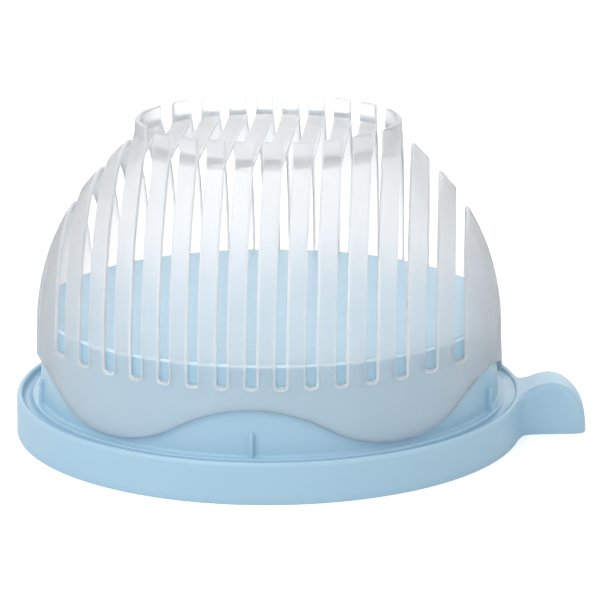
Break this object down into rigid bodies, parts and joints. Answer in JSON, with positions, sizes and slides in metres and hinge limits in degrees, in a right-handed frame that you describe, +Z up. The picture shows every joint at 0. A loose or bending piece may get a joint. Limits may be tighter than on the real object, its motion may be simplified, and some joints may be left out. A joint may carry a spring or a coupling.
{
  "type": "salad cutter bowl with chopping base",
  "caption": "Round chopping base with a lip and a grip tab, and a slotted cutting bowl that stands upside down over its raised board.",
  "frame": {"origin": "on the table, under the middle of the whole footprint, tab included; the axis of the bowl and board is 12.25 mm towards -X from it", "axes": "+Z up, +X towards the grip tab, Y along the bowl's knife slots"},
  "size_m": [0.2195, 0.195, 0.12],
  "materials": {
    "base_plastic": "satin pale blue moulded plastic",
    "bowl_plastic": "satin, milky translucent moulded plastic"
  },
  "bodies": {
    "base": {"base": "base_plastic"},
    "bowl": {"bowl": "bowl_plastic"}
  },
  "joints": [
    {"name": "bowl_lift", "type": "slide", "parent": "base", "child": "bowl", "axis": [0, 0, 1], "range_m": [0, 0.12]}
  ]
}
